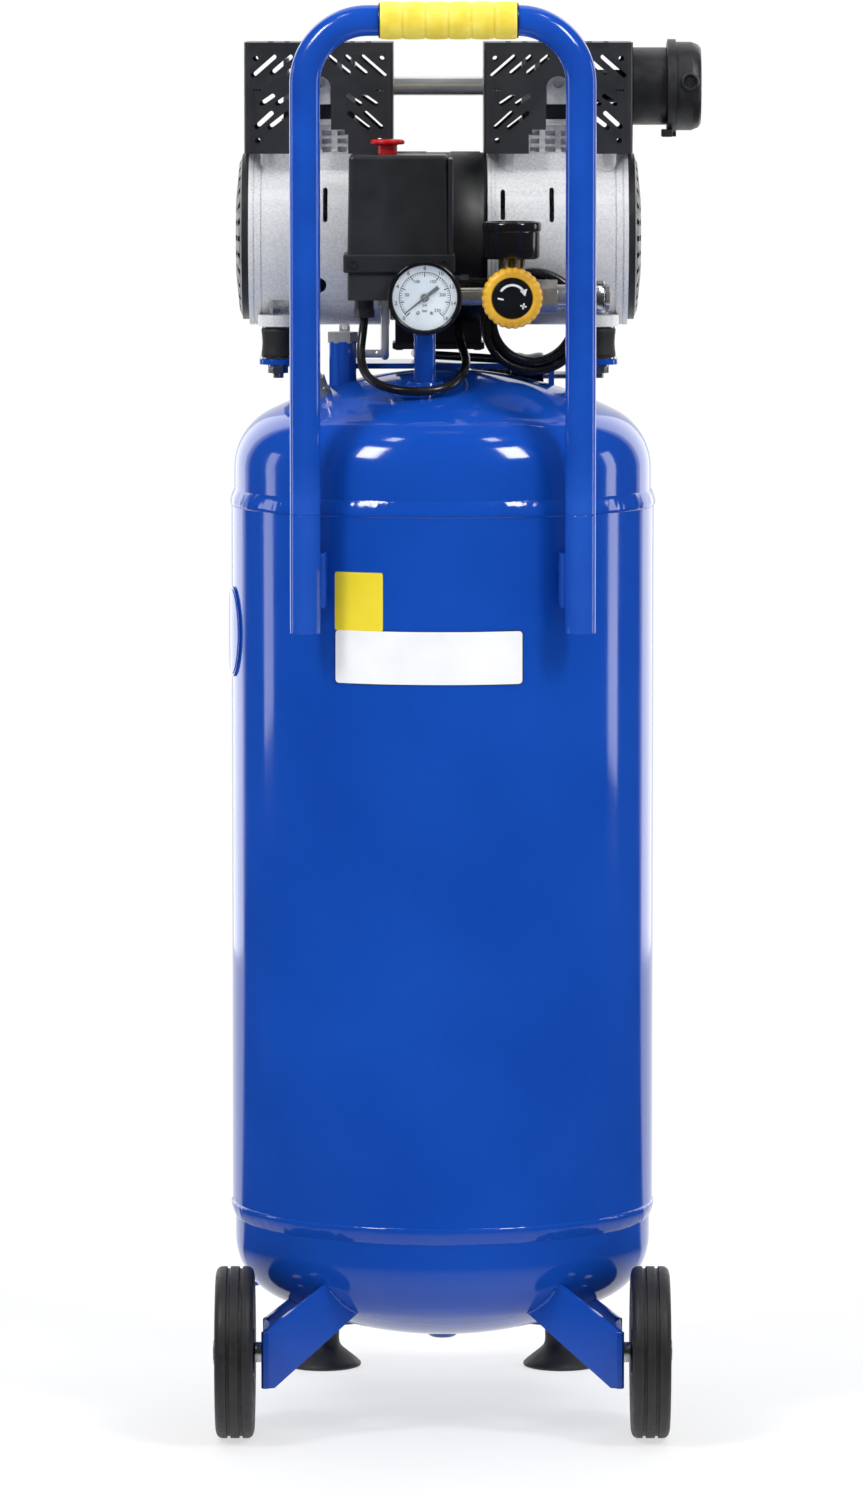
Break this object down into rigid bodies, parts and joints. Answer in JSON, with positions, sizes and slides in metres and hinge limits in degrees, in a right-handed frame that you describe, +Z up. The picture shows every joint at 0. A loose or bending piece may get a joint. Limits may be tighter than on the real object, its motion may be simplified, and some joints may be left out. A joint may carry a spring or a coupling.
{
  "type": "air compressor",
  "caption": "Upright air compressor: tall welded tank on two wheels and two rubber feet, hooped handle, two-cylinder motor, pressure switch, regulator, two gauges and a quick coupler.",
  "frame": {"origin": "on the floor, under the middle of the whole width and depth without the mains lead", "axes": "+Z up along the tank, +X to the right of someone facing the gauges and the handle, the front faces -Y"},
  "size_m": [0.357, 0.3914, 1.0416],
  "materials": {
    "blue_paint": "glossy blue enamel over steel",
    "black_paint": "satin black paint over laminated steel",
    "cast_aluminium": "fine grained die casting",
    "bright_steel": "zinc plated",
    "chrome_pipe": "polished chrome",
    "brass_fitting": "turned brass",
    "black_moulding": "fine matt black moulding",
    "black_rubber": "matt black rubber",
    "tyre_rubber": "matt black solid tyre",
    "yellow_grip": "soft matt yellow",
    "yellow_knob": "glossy golden yellow",
    "red_knob": "glossy red",
    "blue_lever": "glossy blue",
    "clear_lens": "clear",
    "black_cord": "smooth black cable sheath"
  },
  "bodies": {
    "frame": {"tank_shell": "blue_paint", "tank_top_head": "blue_paint", "tank_bottom_head": "blue_paint", "weld_seams": "blue_paint", "motor_brackets": "blue_paint", "rubber_mounts": "black_rubber", "fasteners": "bright_steel", "handle_tube": "blue_paint", "handle_grip": "yellow_grip", "handle_sockets": "blue_paint", "wheel_brackets": "blue_paint", "axle_bolts": "bright_steel", "foot_legs": "blue_paint", "rubber_feet": "black_rubber", "drain_valve": "brass_fitting", "stator_housing": "black_paint", "crankcase_left": "cast_aluminium", "crankcase_right": "cast_aluminium", "fan_grilles": "black_moulding", "shaft_bearings": "bright_steel", "cylinders": "cast_aluminium", "valve_plates": "cast_aluminium", "cylinder_heads": "cast_aluminium", "head_guard_left": "black_moulding", "head_guard_right": "black_moulding", "cross_pipe": "chrome_pipe", "air_filter_body": "black_moulding", "air_filter_cap": "black_moulding", "switch_base": "black_moulding", "switch_cover": "black_moulding", "cable_glands": "black_moulding", "manifold": "brass_fitting", "gauge_riser": "blue_paint", "tank_gauge": "black_moulding", "gauge_lenses": "clear_lens", "regulator_body": "brass_fitting", "outlet_gauge": "black_moulding", "coupler_body": "bright_steel", "safety_valve": "brass_fitting", "air_pipes": "bright_steel", "motor_lead": "black_cord", "mains_lead": "black_cord", "mains_coil": "black_cord", "mains_tail": "black_cord", "mains_plug": "black_cord"},
    "wheel_left": {"wheel_rim_left": "black_moulding", "tyre_left": "tyre_rubber"},
    "wheel_right": {"wheel_rim_right": "black_moulding", "tyre_right": "tyre_rubber"},
    "rotor": {"motor_shaft": "bright_steel", "motor_fans": "black_moulding"},
    "left_piston": {"piston_left": "cast_aluminium"},
    "right_piston": {"piston_right": "cast_aluminium"},
    "switch_button": {"switch_knob": "red_knob"},
    "regulator_handwheel": {"regulator_knob": "yellow_knob"},
    "tank_needle": {"tank_gauge_needle": "black_moulding"},
    "outlet_needle": {"outlet_gauge_needle": "black_moulding"},
    "coupler_collar": {"coupler_sleeve": "bright_steel"},
    "relief_ring": {"safety_valve_ring": "bright_steel"},
    "drain_handle": {"drain_lever": "blue_lever"}
  },
  "joints": [
    {"name": "wheel_left_spin", "type": "hinge", "parent": "frame", "child": "wheel_left", "pos_m": [-0.1635, -0.13325, 0.0625], "axis": [1, 0, 0], "continuous": true},
    {"name": "wheel_right_spin", "type": "hinge", "parent": "frame", "child": "wheel_right", "pos_m": [0.1385, -0.13325, 0.0625], "axis": [1, 0, 0], "continuous": true},
    {"name": "motor_shaft_spin", "type": "hinge", "parent": "frame", "child": "rotor", "pos_m": [-0.0155, 0.02675, 0.8681], "axis": [1, 0, 0], "continuous": true},
    {"name": "left_piston_stroke", "type": "slide", "parent": "frame", "child": "left_piston", "axis": [0, 0, 1], "range_m": [-0.007, 0.007]},
    {"name": "right_piston_stroke", "type": "slide", "parent": "frame", "child": "right_piston", "axis": [0, 0, 1], "range_m": [-0.007, 0.007]},
    {"name": "switch_button_press", "type": "slide", "parent": "frame", "child": "switch_button", "axis": [0, 0, -1], "range_m": [0, 0.006]},
    {"name": "regulator_turn", "type": "hinge", "parent": "frame", "child": "regulator_handwheel", "pos_m": [0.0375, -0.10625, 0.8286], "axis": [0, 1, 0], "range_deg": [-540, 540]},
    {"name": "tank_needle_turn", "type": "hinge", "parent": "frame", "child": "tank_needle", "pos_m": [-0.0255, -0.11975, 0.8286], "axis": [0, 1, 0], "range_deg": [0, 256]},
    {"name": "outlet_needle_turn", "type": "hinge", "parent": "frame", "child": "outlet_needle", "pos_m": [0.0375, -0.08925, 0.8796], "axis": [0, 0, -1], "range_deg": [0, 256]},
    {"name": "coupler_release", "type": "slide", "parent": "frame", "child": "coupler_collar", "axis": [-1, 0, 0], "range_m": [0, 0.006], "stiffness_N_per_m": 400, "springref_m": -0.002},
    {"name": "relief_pull", "type": "slide", "parent": "frame", "child": "relief_ring", "axis": [-0.3116, -0.1453, 0.939], "range_m": [0, 0.003], "stiffness_N_per_m": 300, "springref_m": -0.002},
    {"name": "drain_lever_turn", "type": "hinge", "parent": "frame", "child": "drain_handle", "pos_m": [-0.13544, 0.05357, 0.09186], "axis": [-0.6947, 0.4341, 0.5736], "range_deg": [0, 90]}
  ]
}
